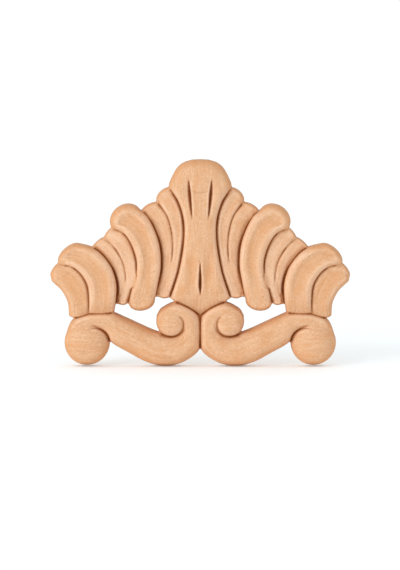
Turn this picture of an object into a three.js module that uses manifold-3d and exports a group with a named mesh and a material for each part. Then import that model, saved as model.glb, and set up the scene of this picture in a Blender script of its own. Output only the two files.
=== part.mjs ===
// A carved wood applique in one piece: a fan of fluted lobes around an upright stem, over two S scrolls.
// Millimetres. X runs across, Z up, the flat back lies on Y = 0 and the carving faces -Y.
// The origin is on the back, on the axis of symmetry and halfway up.
import * as THREE from 'three';
import { mergeVertices } from 'three/addons/utils/BufferGeometryUtils.js';
import Module from 'manifold-3d';

// Driving sizes.
const WIDTH = 110; // from the tip of one end lobe to the other
const DEPTH = 10; // from the back to the highest crown
const EDGE = 2.2; // the square edge that is left all round, next to the back
const FULLNESS = 2.7; // 2 rounds a roll like an ellipse, and more makes its shoulders fuller
const FLUTE = 0.7; // the deepest hollow along the face of a roll
const FLUTE_REACH = 0.7; // how far out a flute reaches, as a share of the half width
const PROUD = 1; // how far a cutter stands out in front of the work

// The pattern is drawn on a grid of 300 squares across. Places are squares from the axis of symmetry and
// squares up from the base line. Crowns are shares of the depth and flutes are shares of the deepest one.
const SQUARES = 300;
const SQUARE = WIDTH / SQUARES;
const TALL = 207.4; // squares from the base line to the top of the head

// A roll lies between two rails. Each station is [left across, left up, right across, right up, crown,
// flute], with left and right as seen from the foot of the roll towards its tip. The roll is rounded off
// beyond its first and last stations by the squares in foot and tip.
const FAN = {
  inner_rib: {
    foot: 5,
    tip: 5.2,
    stations: [
      [28, 74, 42.5, 72, 0.6, 0], [21.8, 92, 36.3, 91.5, 0.7, 0.2], [17.4, 112, 30.3, 112, 0.72, 0.4],
      [15.1, 131, 29, 131, 0.74, 0.5], [17.4, 149.5, 33.6, 148.5, 0.74, 0.5],
      [22.6, 165, 40, 159.3, 0.71, 0.4], [28.7, 176, 43.8, 165, 0.62, 0],
    ],
  },
  outer_rib: {
    foot: 4,
    tip: 3.5,
    stations: [
      [31, 75, 44.6, 72, 0.5, 0], [25.9, 93, 40.6, 91, 0.66, 0.1], [24.2, 114, 39.4, 113, 0.67, 0.3],
      [27, 137.5, 44.4, 133.5, 0.67, 0.5], [32.5, 153, 51.2, 147, 0.65, 0.5], [41, 163.3, 58.3, 155, 0.55, 0],
    ],
  },
  broad_lobe: {
    foot: 9.6,
    tip: 13,
    stations: [
      [45.3, 67.7, 72.3, 63, 0.78, 0], [40.6, 84, 69, 82, 0.88, 0.5], [37.6, 103, 65.6, 101, 0.91, 1],
      [39.6, 123, 68.8, 117.5, 0.91, 1], [45.2, 139.3, 76, 131, 0.91, 1], [52, 150.5, 83, 136.6, 0.88, 0.7],
      [60.3, 157, 88.7, 139, 0.82, 0],
    ],
  },
  middle_rib: {
    foot: 4.3,
    tip: 2.9,
    stations: [
      [70.5, 66, 82.5, 65, 0.56, 0], [64.5, 83, 79.3, 82, 0.7, 0.1], [62, 102, 77.4, 99.5, 0.72, 0.4],
      [67.4, 121.3, 82.5, 113.5, 0.71, 0.5], [75.8, 134.3, 89, 121.2, 0.69, 0.5],
      [86.5, 140, 96.3, 127.3, 0.56, 0],
    ],
  },
  small_rib: {
    foot: 4,
    tip: 1.8,
    stations: [
      [73.5, 67, 84.8, 65, 0.48, 0], [71.6, 84, 84.3, 82, 0.62, 0], [75.2, 104.8, 89.3, 99.3, 0.63, 0.4],
      [82, 117.5, 96.6, 109, 0.62, 0.4], [89, 125.3, 103, 115.2, 0.58, 0.3],
      [96.9, 129, 108.2, 118.8, 0.47, 0],
    ],
  },
  curled_lobe: {
    foot: 2.2,
    tip: 6.5,
    stations: [
      [85.5, 56, 112.7, 54.5, 0.66, 0], [82.9, 68, 112.1, 66.5, 0.88, 0.5], [82.9, 84, 113.4, 80.5, 0.91, 1],
      [88, 100, 118.5, 90, 0.91, 1], [97.5, 113, 125.7, 97.3, 0.91, 1], [109, 120.3, 132.3, 101, 0.86, 0.6],
      [122, 122.9, 139.2, 101.9, 0.76, 0],
    ],
  },
  end_lobe: {
    foot: 3,
    tip: 3.3,
    stations: [
      [110, 52, 129.7, 51, 0.56, 0], [108.6, 66, 131.5, 63.8, 0.73, 0.5], [111.3, 83, 136.2, 75.2, 0.78, 0.8],
      [118.5, 95.8, 142, 81.8, 0.77, 0.8], [128, 102.3, 147.2, 85.5, 0.74, 0.5],
      [139, 104.2, 149.4, 90.3, 0.63, 0],
    ],
  },
};

// The S scroll starts on the outside of its ball, runs over it, swings down and hooks round its eye.
const SCROLL = {
  foot: 2,
  tip: 2,
  stations: [
    [124, 30, 135.4, 28, 0.6, 0], [113.5, 38.2, 127.5, 46, 0.79, 0], [104, 38.5, 110, 53.8, 0.82, 0],
    [95, 33.5, 90, 54.6, 0.86, 0], [88.3, 23.2, 76, 49.3, 0.9, 0], [72, 13.6, 61, 42.4, 0.9, 0],
    [54, 4.2, 46.5, 36, 0.9, 0], [36, 0, 34, 32.2, 0.9, 0], [18, 3.6, 24, 33.2, 0.89, 0],
    [3, 15.2, 18, 37.5, 0.88, 0], [-1.2, 28, 17, 41.8, 0.88, 0], [-0.5, 47, 19.5, 46.5, 0.89, 0],
    [8, 59.7, 23.5, 48.3, 0.9, 0], [24, 65.2, 28, 48, 0.91, 0], [38.5, 58.5, 31, 45, 0.9, 0],
    [44, 50.5, 31.5, 42.5, 0.88, 0],
  ],
};
const BALL = { across: 113.6, up: 24.3, radius: 22.2, crown: 0.96 };
const EYE = { across: 29.5, up: 45, radius: 15.2, crown: 1 };

// The stem stands on the axis: its foot runs in behind the eyes and its head closes the top of the fan.
// Its stations are [half width, up, crown, flute].
const STEM_HALVES = [
  [3, 54, 0.56, 0], [14.3, 61, 0.7, 0], [28.3, 66.5, 0.8, 0.2], [30.8, 70, 0.84, 0.4], [27.2, 81, 0.89, 0.8],
  [22.6, 97.5, 0.92, 1], [19, 117, 0.94, 0.6], [17.4, 136, 0.96, 0], [19.2, 151.5, 0.97, 0],
  [24, 167, 0.98, 0], [29.4, 176, 0.98, 0], [31, 179, 0.98, 0],
];
const STEM = {
  foot: 6,
  tip: 28.4,
  stations: STEM_HALVES.map(([half, up, crown, flute]) => [-half, up, half, up, crown, flute]),
};

// A cut has stations [left across, left up, right across, right up, depth of cut as a share of the depth],
// and a floor that lies some share of the way from the left rail to the right one.
const SLOT = {
  floor: 0.16,
  stations: [
    [8, 146, 9.5, 146, 0], [8.6, 162, 16, 162, 0.25], [9.4, 177, 16.5, 177, 0.27], [10.6, 190, 11.6, 190, 0],
  ],
};
const SLIT = {
  floor: 0.5,
  stations: [[-0.8, 66, 0.8, 66, 0.1], [-2.6, 83, 2.6, 83, 0.4], [-0.8, 105, 0.8, 105, 0.05]],
};

const RING_PITCH = 6.5; // squares between two rings of a roll
const CAP_STEPS = 3; // rings over the shortest rounded end
const CAP_PITCH = 5; // squares between two rings of a longer one
const SECTION_STEPS = 8; // facets across a roll
const DOME_STEPS = 6; // facets from the edge of a ball to its middle
const ROUND_STEPS = 28; // facets round a ball
const WELD = 1e-4; // points nearer than this are one point

const wasm = await Module();
wasm.setup();

const bulge = (r) => Math.pow(Math.max(0, 1 - Math.pow(Math.min(r, 1), FULLNESS)), 1 / FULLNESS);
const place = (across, up, depth) => new THREE.Vector3(across * SQUARE, -depth, (up - TALL / 2) * SQUARE);

/** Smooth rails through stations: how many rings they need, and what lies at t from 0 to 1. */
function runThrough(stations) {
  const smooth = (a, b) => {
    const points = stations.map((station) => new THREE.Vector3(station[a], station[b] ?? 0, 0));
    return new THREE.CatmullRomCurve3(points, false, 'catmullrom', 0.5);
  };
  const [left, right, shape] = [smooth(0, 1), smooth(2, 3), smooth(4, 5)];
  const rings = Math.ceil((left.getLength() + right.getLength()) / 2 / RING_PITCH);
  return { rings, at: (t) => [left.getPoint(t), right.getPoint(t), shape.getPoint(t)] };
}

/** Closes a row of rings, each a list of points in the same order, into one body with two end faces. */
function closeRings(rings) {
  const size = rings[0].length;
  const corners = rings.flat().flatMap((p) => p.toArray());
  const faces = [];
  for (let i = 0; i + 1 < rings.length; i += 1) {
    for (let j = 0; j < size; j += 1) {
      const [a, b] = [i * size + j, i * size + ((j + 1) % size)];
      faces.push(a, b + size, b, a, a + size, b + size);
    }
  }
  const last = (rings.length - 1) * size;
  for (let j = 1; j + 1 < size; j += 1) {
    faces.push(0, j, j + 1, last, last + j + 1, last + j);
  }
  const body = new THREE.BufferGeometry();
  body.setAttribute('position', new THREE.Float32BufferAttribute(corners, 3));
  body.setIndex(faces);
  return body;
}

/** Turns a closed geometry into a solid that can be joined and cut. */
function toSolid(geometry, mirrored) {
  const bare = geometry.clone();
  bare.deleteAttribute('normal');
  bare.deleteAttribute('uv');
  const merged = mergeVertices(bare, WELD);
  const [points, index] = [merged.getAttribute('position').array, merged.getIndex().array];
  const triangles = [];
  for (let i = 0; i < index.length; i += 3) {
    const [a, b, c] = [index[i], index[i + 1], index[i + 2]];
    if (a !== b && b !== c && c !== a) triangles.push(a, mirrored ? c : b, mirrored ? b : c);
  }
  return new wasm.Manifold(new wasm.Mesh({
    numProp: 3,
    vertProperties: Float32Array.from(points),
    triVerts: Uint32Array.from(triangles),
  }));
}

/** A roll of wood between its rails, flat at the back, with rounded ends and a shallow flute down its face. */
function roll({ stations, foot, tip }, side) {
  const run = runThrough(stations);
  const rings = [];
  const addRing = (t, past, reach) => {
    const [left, right, shape] = run.at(t);
    const chord = left.clone().sub(right).multiplyScalar(0.5);
    const middle = left.clone().add(right).multiplyScalar(0.5);
    const ahead = new THREE.Vector3(chord.y, -chord.x, 0).normalize();
    middle.addScaledVector(ahead, past * reach);
    const span = Math.sqrt(Math.max(0, 1 - past * past));
    const front = [];
    for (let j = 0; j <= SECTION_STEPS; j += 1) {
      const lateral = -Math.cos((Math.PI * j) / SECTION_STEPS) * span;
      const trough = Math.max(0, 1 - Math.pow(lateral / FLUTE_REACH, 2)) ** 2;
      const swell = (shape.x * DEPTH - EDGE) * bulge(Math.hypot(lateral, past));
      const point = middle.clone().addScaledVector(chord, lateral);
      front.push(place(side * point.x, point.y, EDGE + swell - FLUTE * shape.y * trough));
    }
    const [first, final] = [front[0].clone().setY(0), front[SECTION_STEPS].clone().setY(0)];
    rings.push([first, ...front, final]);
  };
  const capSteps = (reach) => Math.max(CAP_STEPS, Math.ceil(reach / CAP_PITCH));
  const [footSteps, tipSteps] = [capSteps(foot), capSteps(tip)];
  for (let i = footSteps; i > 0; i -= 1) addRing(0, -Math.sin((Math.PI / 2) * (i / footSteps)), foot);
  for (let i = 0; i <= run.rings; i += 1) addRing(i / run.rings, 0, 0);
  for (let i = 1; i <= tipSteps; i += 1) addRing(1, Math.sin((Math.PI / 2) * (i / tipSteps)), tip);
  return toSolid(closeRings(rings), side < 0);
}

/** A round boss, flat at the back: the ball and the eye of a scroll. */
function boss({ across, up, radius, crown }, side) {
  const profile = [new THREE.Vector2(0, 0), new THREE.Vector2(radius * SQUARE, 0)];
  for (let i = 0; i < DOME_STEPS; i += 1) {
    const out = Math.cos((Math.PI / 2) * (i / DOME_STEPS));
    profile.push(new THREE.Vector2(out * radius * SQUARE, EDGE + (crown * DEPTH - EDGE) * bulge(out)));
  }
  profile.push(new THREE.Vector2(0, crown * DEPTH));
  const body = new THREE.LatheGeometry(profile, ROUND_STEPS);
  body.rotateX(Math.PI);
  const centre = place(side * across, up, 0);
  body.translate(centre.x, 0, centre.z);
  return toSolid(body, false);
}

/** The wood that a V tool takes out between two rails, open to the front. */
function cutter({ stations, floor }, side) {
  const run = runThrough(stations);
  const rings = [];
  for (let i = 0; i <= run.rings; i += 1) {
    const [left, right, { x: cut }] = run.at(i / run.rings);
    const deepest = left.clone().lerp(right, floor);
    rings.push([
      place(side * left.x, left.y, DEPTH + PROUD),
      place(side * deepest.x, deepest.y, DEPTH * (1 - Math.max(0, cut))),
      place(side * right.x, right.y, DEPTH + PROUD),
    ]);
  }
  return toSolid(closeRings(rings), side < 0);
}

/** The whole applique, joined and then cut, as a geometry. */
function carve() {
  const forms = [roll(STEM, 1)];
  for (const side of [1, -1]) {
    forms.push(roll(SCROLL, side), boss(BALL, side), boss(EYE, side));
    for (const lobe of Object.values(FAN)) forms.push(roll(lobe, side));
  }
  let wood = forms.reduce((whole, form) => whole.add(form));
  for (const cut of [cutter(SLOT, 1), cutter(SLOT, -1), cutter(SLIT, 1)]) wood = wood.subtract(cut);
  const { vertProperties, triVerts } = wood.getMesh();
  const body = new THREE.BufferGeometry();
  body.setAttribute('position', new THREE.BufferAttribute(vertProperties, 3));
  body.setIndex(new THREE.BufferAttribute(triVerts, 1));
  body.computeVertexNormals();
  return body;
}

const beech = new THREE.MeshStandardMaterial({ color: 0xe3b48c, roughness: 0.62, metalness: 0 });
const applique = new THREE.Mesh(carve(), beech);
applique.name = 'carved_applique';

const group = new THREE.Group();
group.add(applique);
export default group;
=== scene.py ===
"""A carved wood applique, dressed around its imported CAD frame.

The carving is one piece: a fan of fluted lobes around an upright stem, over a pair of S scrolls. Every form
is drawn on a grid of 300 squares across, as the solid is, and all of them are fused into one skin. The fibre
of the wood runs along each form, so every point of the skin keeps its place along and across its form.
"""
import logging
import math
from dataclasses import dataclass, field
from enum import Enum

import bmesh
import bpy
import numpy as np
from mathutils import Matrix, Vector


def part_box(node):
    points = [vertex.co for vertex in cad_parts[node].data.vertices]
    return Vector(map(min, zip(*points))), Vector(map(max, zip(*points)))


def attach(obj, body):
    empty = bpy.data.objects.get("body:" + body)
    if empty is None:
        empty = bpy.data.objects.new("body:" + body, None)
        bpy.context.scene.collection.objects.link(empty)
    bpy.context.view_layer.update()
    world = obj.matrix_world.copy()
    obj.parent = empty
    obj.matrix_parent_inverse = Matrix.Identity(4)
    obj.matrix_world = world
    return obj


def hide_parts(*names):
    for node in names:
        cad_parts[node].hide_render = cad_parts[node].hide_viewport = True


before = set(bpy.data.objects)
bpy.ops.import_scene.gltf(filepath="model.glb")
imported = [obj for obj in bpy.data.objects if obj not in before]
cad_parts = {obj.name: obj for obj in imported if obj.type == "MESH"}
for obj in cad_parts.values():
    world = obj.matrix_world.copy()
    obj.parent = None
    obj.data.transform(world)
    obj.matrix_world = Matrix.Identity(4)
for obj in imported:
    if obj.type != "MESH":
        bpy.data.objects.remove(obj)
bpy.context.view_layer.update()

LOG = logging.getLogger("applique")

NODE = "carved_applique"
BODY = "root"
SQUARES = 300
MM = 0.001
PAST_BACK = 1.5 * MM
TOUCHING = 1e-7
PHOTO_WIDTH = 400
PHOTO_HEIGHT = 570

Station = tuple[float, float, float, float, float, float]
Colour = tuple[float, float, float]
Edges = list[bmesh.types.BMEdge]
Vertices = list[bmesh.types.BMVert]
Socket = bpy.types.NodeSocket


class Side(Enum):
    """The half of the carving that a form lies in."""

    RIGHT = 1
    LEFT = -1


class Surface(Enum):
    """The material index of each part of the skin."""

    CARVED = 0
    PLANED = 1


def srgb(red: int, green: int, blue: int) -> Colour:
    """Turns a colour as the eye names it into the linear one that a shader takes.

    Args:
        red: Red, from 0 to 255.
        green: Green, from 0 to 255.
        blue: Blue, from 0 to 255.

    Returns:
        The linear colour, each part from 0 to 1.
    """
    def straight(value: int) -> float:
        """Takes the display curve off one part of the colour."""
        share = value / 255
        return share / 12.92 if share <= 0.04045 else ((share + 0.055) / 1.055) ** 2.4
    return straight(red), straight(green), straight(blue)


def smooth_step(low: float, high: float, value: np.ndarray) -> np.ndarray:
    """Eases from 0 at low to 1 at high."""
    share = np.clip((value - low) / (high - low), 0.0, 1.0)
    return share * share * (3 - 2 * share)


def bulge(out: np.ndarray, fullness: np.ndarray | float) -> np.ndarray:
    """The height of a shoulder, from 1 on the crest to 0 at its foot: the fuller, the tighter it turns."""
    share = np.clip(out, 0.0, 1.0)
    return np.clip(1 - share ** fullness, 0.0, 1.0) ** (1 / fullness)


def bell(distance: np.ndarray) -> np.ndarray:
    """A smooth hump: 1 where the distance is 0, and 0 from a distance of 1 on."""
    return np.clip(1 - distance * distance, 0.0, 1.0) ** 2


@dataclass(frozen=True)
class Pattern:
    """The drawing grid of the carving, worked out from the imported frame's box."""

    square: float
    tall: float
    depth: float
    edge: float = 2.2 * MM
    flute: float = 0.7 * MM

    @classmethod
    def from_frame(cls) -> "Pattern":
        """Reads the width, height and depth of the solid.

        Returns:
            The grid that the solid is drawn on.
        """
        low, high = (Vector(corner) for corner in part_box(NODE))
        square = (high.x - low.x) / SQUARES
        return cls(square=square, tall=-2 * low.z / square, depth=-low.y)

    def place(self, across: np.ndarray, up: np.ndarray, depth: np.ndarray) -> np.ndarray:
        """Turns squares across and up, and metres of depth, into points of the frame."""
        return np.stack([across * self.square, -depth, (up - self.tall / 2) * self.square], axis=-1)


@dataclass(frozen=True)
class Face:
    """Points on the face of a form, how the wood's fibre runs there, and how much painted shade it gets,
    with painted highlight below 0.
    """

    points: np.ndarray
    ahead: np.ndarray
    along: np.ndarray
    across: np.ndarray
    painted_light: np.ndarray


def through(stations: list[tuple[float, ...]], spot: np.ndarray) -> np.ndarray:
    """Follows a smooth curve through stations.

    Args:
        stations: Two stations or more.
        spot: The wanted places, from 0 at the first station to one less than their number at the last.

    Returns:
        The station at each place.
    """
    knots = np.array(stations, dtype=float)
    knots = np.vstack([2 * knots[0] - knots[1], knots, 2 * knots[-1] - knots[-2]])
    spot = np.clip(spot, 0.0, len(stations) - 1)
    first = np.minimum(spot.astype(int), len(stations) - 2)
    t = (spot - first)[:, None]
    a, b, c, d = (knots[first + k] for k in range(4))
    bend = 2 * a - 5 * b + 4 * c - d
    twist = 3 * b - a - 3 * c + d
    return 0.5 * (2 * b + (c - a) * t + bend * t ** 2 + twist * t ** 3)


@dataclass(frozen=True)
class Flute:
    """The section of a flute, with the painted shade in its trough and the painted highlight on its crest.

    The flute starts at a low crest along the roll's rim. A flat share of its depth is reached within the
    ease, in squares, from there, and the rest is a round hollow. Halves are shares of the roll's half width,
    or of its rim for the crest.
    """

    flat_share: float = 0.3
    ease: float = 5.0
    half: float = 0.75
    crest_half: float = 0.45
    trough_shade: float = 1.3
    crest_highlight: float = 0.9
    highlight_half: float = 0.85


@dataclass
class Roll:
    """A roll of wood between two rails, with rounded ends and a shallow flute down its face.

    Each station is left across, left up, right across, right up, crown and flute, with left and right as
    seen from the foot of the roll towards its tip, so the left rail is the one next to the stem. Crown and
    flute are shares of the deepest ones. The rim follows the roll's outline round its tip. Fullness says how
    tight the shoulder turns at the left rail, at the right rail and at the two ends, and blend over what
    share of the half width it changes. Tilt is how much lower the roll lies at its right rail, most where
    tilt_peak says and least at its ends. Lead is how far the tip leans the way the rails run. Its crest is
    painted lighter by a given share: a painted highlight.
    """

    name: str
    stations: list[Station]
    foot: float
    tip: float
    rim: float = 3.0
    rim_height: float = 0.06 * MM
    fullness: tuple[float, float, float] = (3.2, 3.2, 2.6)
    blend: float = 0.6
    tilt: float = 0.0
    tilt_least: float = 0.3
    tilt_peak: float = 0.36
    tilt_bend: float = 1.3
    lead: float = 0.0
    painted_highlight: float = 0.0
    cut: Flute = Flute()
    pitch: float = 0.8
    fine_pitch: float = 0.25
    run_steps: int = 600

    def run(self) -> tuple[np.ndarray, np.ndarray, np.ndarray]:
        """Measures the roll's body, closely spaced from its first station to its last.

        Returns:
            Places among the stations, and the lengths up to each, halfway between the rails and along the
            longer rail.
        """
        spot = np.linspace(0, len(self.stations) - 1, self.run_steps)
        here = through(self.stations, spot)
        lines = (here[:, 0:2] + here[:, 2:4]) / 2, here[:, 0:2], here[:, 2:4]
        steps = [np.linalg.norm(np.diff(line, axis=0), axis=1) for line in lines]
        lengths = [np.concatenate([[0.0], np.cumsum(step)]) for step in (steps[0], np.max(steps, axis=0))]
        return spot, lengths[0], lengths[1]

    def breadth(self) -> float:
        """The widest distance between the rails, in squares."""
        rails = np.array(self.stations)
        return float(np.linalg.norm(rails[:, 0:2] - rails[:, 2:4], axis=1).max())

    def tooling(self, across: np.ndarray, up: np.ndarray) -> np.ndarray:
        """The depth of wood that finer tools take off: none on a plain roll."""
        return np.zeros_like(across)

    def painted_light(self, across: np.ndarray, up: np.ndarray) -> np.ndarray:
        """The painted shade in hollows of its own: none on a plain roll."""
        return np.zeros_like(across)

    def face(self, pattern: Pattern, side: Side, run: np.ndarray, turn: np.ndarray) -> Face:
        """Works out places on the face of the roll.

        Args:
            pattern: The drawing grid.
            side: The half of the carving that it lies in.
            run: How far each place lies from the end of the foot to the end of the tip, from 0 to 1.
            turn: How far it lies from the right rail to the left one, from 0 to 1.

        Returns:
            The places and their fibre.
        """
        spots, middle_run, longest_run = self.run()
        body, longest = middle_run[-1], longest_run[-1]
        arc = math.pi / 2
        reach = run * (self.foot * arc + longest + self.tip * arc) - self.foot * arc
        spot_among = np.interp(reach, longest_run, spots)
        inside = np.interp(reach, longest_run, middle_run)
        round_foot = np.clip(reach / self.foot, -arc, 0.0)
        round_tip = np.clip((reach - longest) / self.tip, 0.0, arc)
        past = np.sin(round_foot + round_tip)
        reach = np.where(reach < 0, reach, np.where(reach > longest, reach - longest + body, inside))
        beyond = np.where(past < 0, past * self.foot, past * self.tip)
        span = np.sqrt(np.clip(1 - past * past, 0.0, 1.0))

        here = through(self.stations, spot_among)
        left, right = here[:, 0:2], here[:, 2:4]
        chord = (left - right) / 2
        width = np.linalg.norm(chord, axis=1)
        ahead = np.stack([chord[:, 1], -chord[:, 0]], axis=-1) / width[:, None]
        last = np.array(self.stations[-2:], dtype=float)
        onward = (last[1, 0:2] + last[1, 2:4] - last[0, 0:2] - last[0, 2:4]) / 2
        onward /= np.linalg.norm(onward)
        leaning = ahead + (onward - ahead) * np.where(past > 0, self.lead, 0.0)[:, None]
        lateral = -np.cos(math.pi * turn) * span
        spot = (left + right) / 2 + leaning * beyond[:, None] + chord * lateral[:, None]

        crown, flute = here[:, 4], here[:, 5]
        near_tip = np.clip((np.minimum(reach, body) + beyond - body - self.tip + width) / width, 0.0, 1.0)
        to_right = smooth_step(-self.blend, self.blend, -lateral)
        at_left, at_right, at_ends = self.fullness
        fullness = at_left + (at_right - at_left) * to_right
        fullness = fullness + (at_ends - fullness) * np.maximum(near_tip, np.abs(past))
        off_peak = (reach / body - self.tilt_peak) / (1 - self.tilt_peak)
        spread = self.tilt_least + (1 - self.tilt_least) * bell(off_peak)
        lean = self.tilt * spread * ((1 - lateral) / 2) ** self.tilt_bend
        crest_height = crown * pattern.depth - pattern.edge
        swell = (crest_height - lean) * bulge(np.hypot(lateral, past), fullness)
        inset = width * (1 - np.hypot(lateral, near_tip))
        cut = self.cut
        flat = cut.flat_share * smooth_step(self.rim, self.rim + cut.ease, inset)
        hollow = (1 - cut.flat_share) * bell(lateral / cut.half) * (1 - near_tip) ** 2
        trough = flute * (flat + hollow)
        crest = flute * bell((inset - self.rim) / (self.rim * cut.crest_half))
        depth = pattern.edge + swell + self.rim_height * crest - pattern.flute * trough
        depth = depth - self.tooling(spot[:, 0], spot[:, 1])
        points = pattern.place(side.value * spot[:, 0], spot[:, 1], depth)
        direction = np.stack([side.value * ahead[:, 0], np.zeros(len(run)), ahead[:, 1]], axis=-1)
        sideways = lateral * width * pattern.square * side.value
        # Painted shade in the flute's trough and any hollows of the form, less a painted highlight on the
        # crest along the rim and along the middle of the roll.
        painted_light = cut.trough_shade * trough - cut.crest_highlight * crest + self.painted_light(spot[:, 0], spot[:, 1])
        painted_light = painted_light - self.painted_highlight * bell(lateral / cut.highlight_half) * span
        return Face(points, direction, reach * pattern.square, sideways, painted_light)

    def grid(self, pitch: float) -> tuple[int, int]:
        """Works out how many places cover the face.

        Args:
            pitch: The distance from one place to the next, in squares.

        Returns:
            The number of places along the roll and across it.
        """
        length = self.run()[2][-1] + (self.foot + self.tip) * math.pi / 2
        return math.ceil(length / pitch), math.ceil(self.breadth() * math.pi / 2 / pitch)

    def fine_face(self, pattern: Pattern, side: Side) -> Face:
        """Covers the face of the roll closely with places.

        Args:
            pattern: The drawing grid.
            side: The half of the carving that it lies in.

        Returns:
            The places and their fibre.
        """
        rows, columns = self.grid(self.fine_pitch)
        run, turn = np.meshgrid(np.linspace(0, 1, rows), np.linspace(0, 1, columns))
        return self.face(pattern, side, run.ravel(), turn.ravel())

    def build(self, form: bmesh.types.BMesh, pattern: Pattern, side: Side) -> None:
        """Bends a grid into the face of the roll and closes it behind the back plane.

        Args:
            form: The mesh that takes the roll.
            pattern: The drawing grid.
            side: The half of the carving to build it in.
        """
        rows, columns = self.grid(self.pitch)
        made = bmesh.ops.create_grid(form, x_segments=rows, y_segments=columns, size=1.0)["verts"]
        flat = np.array([vertex.co[:2] for vertex in made])
        face = self.face(pattern, side, (flat[:, 0] + 1) / 2, (flat[:, 1] + 1) / 2)
        for vertex, point in zip(made, face.points):
            vertex.co = point
        close_behind(form, made)


@dataclass
class Stem(Roll):
    """The upright stem, with its slots, the scoops beside them, its knob, its hollows and its slit.

    Places and halves are in squares. Each slot falls steeply at its edge, off its line. A share of its
    depth rises again within the narrow reach past its floor, and the rest within the scoop's.
    """

    slot_foot: float = 145.0
    slot_wide: float = 172.0
    slot_head: float = 192.0
    slot_line: tuple[float, float, float] = (7.6, 9.2, 11.6)
    slot_edge: tuple[float, float] = (-0.8, 0.3)
    slot_floor: float = 1.2
    slot_narrow: float = 2.2
    slot_scoop: float = 9.0
    slot_narrow_share: float = 0.55
    slot_depth: float = 2.6 * MM
    slit_foot: float = 70.0
    slit_wide: float = 84.0
    slit_head: float = 111.0
    slit_half: float = 2.1
    slit_least: float = 0.2
    slit_depth: float = 2.4 * MM
    hollow_across: float = 9.0
    hollow_half: float = 7.5
    hollow_foot: float = 68.0
    hollow_head: float = 128.0
    hollow_depth: float = 0.7 * MM
    # Painted shade in the hollows beside the slit.
    hollow_shade: float = 1.9
    knob_up: float = 184.5
    knob_radius: float = 9.5
    knob_ease: float = 4.0
    knob_height: float = 0.2 * MM

    def stretch(self, up: np.ndarray, foot: float, widest: float, head: float) -> np.ndarray:
        """A run that grows from 0 at its foot to 1 where it is widest, and ends at its head."""
        share = np.where(up < widest, (widest - up) / (widest - foot), (up - widest) / (head - widest))
        return bell(share)

    def hollow(self, across: np.ndarray, up: np.ndarray) -> np.ndarray:
        """Shapes the two shallow hollows beside the slit.

        Args:
            across: Squares from the axis.
            up: Squares from the base line.

        Returns:
            How deep in a hollow each place lies, from 0 to 1.
        """
        middle = (self.hollow_foot + self.hollow_head) / 2
        run = self.stretch(up, self.hollow_foot, middle, self.hollow_head)
        return run * bell((np.abs(across) - self.hollow_across) / self.hollow_half)

    def painted_light(self, across: np.ndarray, up: np.ndarray) -> np.ndarray:
        """The painted shade in the hollows beside the slit."""
        return self.hollow_shade * self.hollow(across, up)

    def tooling(self, across: np.ndarray, up: np.ndarray) -> np.ndarray:
        """The depth of wood that the V tool and the gouge take off the stem.

        Args:
            across: Squares from the axis.
            up: Squares from the base line.

        Returns:
            The depth taken off, in metres, below 0 where wood is left on.
        """
        out = np.abs(across)
        run = self.stretch(up, self.slot_foot, self.slot_wide, self.slot_head)
        line = np.interp(up, (self.slot_foot, self.slot_wide, self.slot_head), self.slot_line)
        off = out - line
        fall = smooth_step(*self.slot_edge, off)
        past = np.maximum(off - self.slot_edge[1] - self.slot_floor * run ** 2, 0.0)
        narrow = self.slot_narrow_share * np.clip(1 - past / self.slot_narrow, 0.0, 1.0) ** 2
        scoop = (1 - self.slot_narrow_share) * np.clip(1 - past / self.slot_scoop, 0.0, 1.0) ** 2
        slot = self.slot_depth * run * fall * (narrow + scoop)
        slit_run = self.stretch(up, self.slit_foot, self.slit_wide, self.slit_head)
        slit_off = out / (self.slit_half * (self.slit_least + (1 - self.slit_least) * slit_run))
        slit = self.slit_depth * slit_run * np.clip(1 - slit_off, 0.0, 1.0)
        hollow = self.hollow_depth * self.hollow(across, up)
        knob_off = np.hypot(out, up - self.knob_up)
        knob_edge = smooth_step(self.knob_radius - self.knob_ease, self.knob_radius, knob_off)
        knob = self.knob_height * (1 - knob_edge)
        return slot + slit + hollow - knob


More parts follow.
